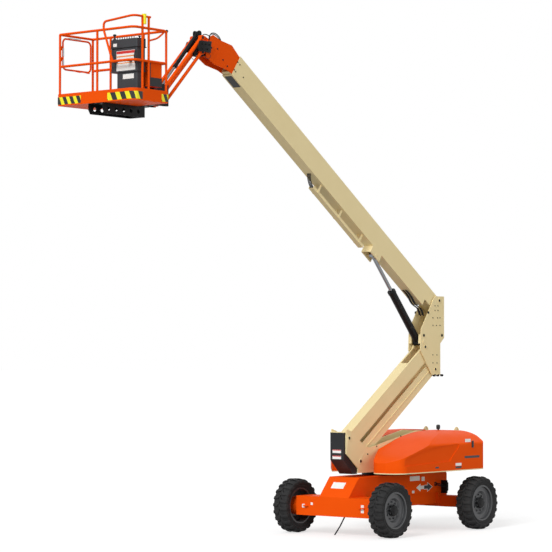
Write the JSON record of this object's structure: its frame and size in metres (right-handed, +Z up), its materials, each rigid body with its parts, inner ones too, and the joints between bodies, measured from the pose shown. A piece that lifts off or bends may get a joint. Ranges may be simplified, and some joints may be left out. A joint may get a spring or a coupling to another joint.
{
  "type": "articulating boom lift",
  "caption": "Four-wheel articulating boom lift: slewing base, parallelogram lower arm, upright, telescoping upper boom, jib and a railed work platform.",
  "frame": {"origin": "on the ground under the middle of the machine's whole length and width", "axes": "+X the way the upper boom and platform reach, +Y the machine's left, +Z up"},
  "size_m": [8.9049, 2.3, 8.0649],
  "materials": {
    "beige_paint": "satin",
    "black_plastic": "matte",
    "cast": "satin",
    "chrome_rod": "polished",
    "dark_paint": "satin",
    "orange_paint": "satin",
    "steel": "satin",
    "tyre": "matte"
  },
  "bodies": {
    "chassis": {"chassis_frame": "orange_paint", "drive_axle": "orange_paint", "steer_axle": "orange_paint", "slew_ring": "dark_paint"},
    "knuckle_left": {"steer_knuckle_left": "dark_paint"},
    "knuckle_right": {"steer_knuckle_right": "dark_paint"},
    "tie_rod": {"tie_rod": "steel"},
    "wheel_drive_left": {"tyre_drive_left": "tyre", "rim_drive_left": "dark_paint"},
    "wheel_drive_right": {"tyre_drive_right": "tyre", "rim_drive_right": "dark_paint"},
    "wheel_steer_left": {"tyre_steer_left": "tyre", "rim_steer_left": "dark_paint"},
    "wheel_steer_right": {"tyre_steer_right": "tyre", "rim_steer_right": "dark_paint"},
    "turntable": {"turntable_frame": "beige_paint", "front_cover": "black_plastic", "counterweight": "cast", "battery_block": "black_plastic", "power_block": "dark_paint"},
    "hood_left": {"hood_left": "orange_paint"},
    "hood_right": {"hood_right": "orange_paint"},
    "lower_arm": {"lower_arm": "beige_paint"},
    "timing_link": {"timing_link": "beige_paint"},
    "lower_lift_barrel": {"lower_lift_barrel": "dark_paint"},
    "lower_lift_rod": {"lower_lift_rod": "chrome_rod"},
    "upright": {"upright": "beige_paint"},
    "upper_boom": {"boom_base": "beige_paint"},
    "boom_lift_rod": {"boom_lift_rod": "chrome_rod"},
    "boom_lift_barrel": {"boom_lift_barrel": "dark_paint"},
    "fly_boom": {"fly_boom": "beige_paint", "boom_nose": "orange_paint"},
    "jib_bracket": {"jib_bracket": "dark_paint"},
    "jib_upper": {"jib_upper_tubes": "orange_paint"},
    "jib_lower": {"jib_lower_tubes": "orange_paint"},
    "jib_lift_barrel": {"jib_lift_barrel": "dark_paint"},
    "jib_lift_rod": {"jib_lift_rod": "chrome_rod"},
    "jib_head": {"jib_yoke": "dark_paint", "rotator": "dark_paint"},
    "platform": {"platform_support": "dark_paint", "platform_floor": "orange_paint", "platform_rails": "orange_paint", "platform_console": "dark_paint", "document_box": "orange_paint"},
    "gate": {"platform_gate": "orange_paint"}
  },
  "joints": [
    {"name": "steer_left", "type": "hinge", "parent": "chassis", "child": "knuckle_left", "pos_m": [-3.9955, 0.77, 0.457], "axis": [0, 0, 1], "range_deg": [-40, 40]},
    {"name": "steer_right", "type": "hinge", "parent": "chassis", "child": "knuckle_right", "pos_m": [-3.9955, -0.77, 0.457], "axis": [0, 0, 1], "range_deg": [-40, 40]},
    {"name": "tie_rod_shift", "type": "slide", "parent": "chassis", "child": "tie_rod", "axis": [0, -1, 0], "range_m": [-0.12223, 0.12223]},
    {"name": "wheel_spin_drive_left", "type": "hinge", "parent": "chassis", "child": "wheel_drive_left", "pos_m": [-1.4955, 1, 0.457], "axis": [0, 1, 0], "continuous": true},
    {"name": "wheel_spin_drive_right", "type": "hinge", "parent": "chassis", "child": "wheel_drive_right", "pos_m": [-1.4955, -1, 0.457], "axis": [0, 1, 0], "continuous": true},
    {"name": "wheel_spin_steer_left", "type": "hinge", "parent": "knuckle_left", "child": "wheel_steer_left", "pos_m": [-3.9955, 1, 0.457], "axis": [0, 1, 0], "continuous": true},
    {"name": "wheel_spin_steer_right", "type": "hinge", "parent": "knuckle_right", "child": "wheel_steer_right", "pos_m": [-3.9955, -1, 0.457], "axis": [0, 1, 0], "continuous": true},
    {"name": "turntable_slew", "type": "hinge", "parent": "chassis", "child": "turntable", "pos_m": [-2.7455, 0, 1.03], "axis": [0, 0, 1], "continuous": true},
    {"name": "hood_left_open", "type": "hinge", "parent": "turntable", "child": "hood_left", "pos_m": [-2.7455, 0.19, 1.712], "axis": [1, 0, 0], "range_deg": [0, 60]},
    {"name": "hood_right_open", "type": "hinge", "parent": "turntable", "child": "hood_right", "pos_m": [-2.7455, -0.19, 1.712], "axis": [-1, 0, 0], "range_deg": [0, 60]},
    {"name": "lower_arm_lift", "type": "hinge", "parent": "turntable", "child": "lower_arm", "pos_m": [-1.4925, 0, 1.613], "axis": [0, 1, 0], "range_deg": [-34.8, 33.2]},
    {"name": "timing_link_turn", "type": "hinge", "parent": "turntable", "child": "timing_link", "pos_m": [-1.8005, 0, 1.223], "axis": [0, 1, 0], "range_deg": [-34.8, 33.2]},
    {"name": "lower_cylinder_turn", "type": "hinge", "parent": "turntable", "child": "lower_lift_barrel", "pos_m": [-1.5655, 0, 1.4], "axis": [0, 1, 0], "range_deg": [-33.22, 31.69]},
    {"name": "lower_rod_slide", "type": "slide", "parent": "lower_lift_barrel", "child": "lower_lift_rod", "axis": [-0.7764, 0, 0.6303], "range_m": [-0.12338, 0.11771]},
    {"name": "upright_level", "type": "hinge", "parent": "lower_arm", "child": "upright", "pos_m": [-3.69154, 0, 3.14137], "axis": [0, 1, 0], "range_deg": [-33.2, 34.8]},
    {"name": "boom_lift", "type": "hinge", "parent": "upright", "child": "upper_boom", "pos_m": [-4.11554, 0, 3.95797], "axis": [0, -1, 0], "range_deg": [-34.9, 40.1]},
    {"name": "boom_cylinder_turn", "type": "hinge", "parent": "upper_boom", "child": "boom_lift_rod", "pos_m": [-2.33709, 0, 4.70848], "axis": [0, -1, 0], "range_deg": [-5.63, 4.91]},
    {"name": "boom_cylinder_slide", "type": "slide", "parent": "boom_lift_rod", "child": "boom_lift_barrel", "axis": [-0.6641, 0, -0.7476], "range_m": [-0.51673, 0.5937]},
    {"name": "fly_extend", "type": "slide", "parent": "upper_boom", "child": "fly_boom", "axis": [0.8202, 0, 0.5721], "range_m": [0, 4.9]},
    {"name": "jib_level", "type": "hinge", "parent": "fly_boom", "child": "jib_bracket", "pos_m": [2.05446, 0, 7.74], "axis": [0, 1, 0], "range_deg": [-34.9, 40.1]},
    {"name": "jib_lift", "type": "hinge", "parent": "jib_bracket", "child": "jib_upper", "pos_m": [2.16946, 0, 7.95], "axis": [0, -1, 0], "range_deg": [-14.7, 115.3]},
    {"name": "jib_link_turn", "type": "hinge", "parent": "jib_bracket", "child": "jib_lower", "pos_m": [2.16946, 0, 7.72], "axis": [0, -1, 0], "range_deg": [-14.7, 115.3]},
    {"name": "jib_cylinder_turn", "type": "hinge", "parent": "jib_bracket", "child": "jib_lift_barrel", "pos_m": [2.16946, 0, 8.02], "axis": [0, -1, 0], "range_deg": [-14.7, 115.3]},
    {"name": "jib_rod_slide", "type": "slide", "parent": "jib_lift_barrel", "child": "jib_lift_rod", "axis": [0.6753, 0, -0.7375], "range_m": [-0.12054, 0.01554]},
    {"name": "jib_head_level", "type": "hinge", "parent": "jib_upper", "child": "jib_head", "pos_m": [3.0276, 0, 7.08282], "axis": [0, -1, 0], "range_deg": [-115.3, 14.7]},
    {"name": "platform_rotate", "type": "hinge", "parent": "jib_head", "child": "platform", "pos_m": [3.3745, 0, 7.08282], "axis": [0, 0, 1], "range_deg": [-90, 90]},
    {"name": "gate_open", "type": "hinge", "parent": "platform", "child": "gate", "pos_m": [4.3972, -0.755, 7.34652], "axis": [0, 0, -1], "range_deg": [0, 80]}
  ],
  "couplings": [
    {"joint": "steer_right", "follows": "steer_left", "ratio": 1},
    {"joint": "tie_rod_shift", "follows": "steer_left", "m_per_rad": 0.1748},
    {"joint": "timing_link_turn", "follows": "lower_arm_lift", "ratio": 1},
    {"joint": "lower_cylinder_turn", "follows": "lower_arm_lift", "ratio": 0.954},
    {"joint": "lower_rod_slide", "follows": "lower_arm_lift", "m_per_rad": 0.2028},
    {"joint": "upright_level", "follows": "lower_arm_lift", "ratio": -1},
    {"joint": "boom_cylinder_turn", "follows": "boom_lift", "ratio": -0.14},
    {"joint": "boom_cylinder_slide", "follows": "boom_lift", "m_per_rad": 0.848},
    {"joint": "jib_level", "follows": "boom_lift", "ratio": 1},
    {"joint": "jib_link_turn", "follows": "jib_lift", "ratio": 1},
    {"joint": "jib_cylinder_turn", "follows": "jib_lift", "ratio": 1},
    {"joint": "jib_rod_slide", "follows": "jib_lift", "m_per_rad": -0.0598},
    {"joint": "jib_head_level", "follows": "jib_lift", "ratio": -1}
  ]
}
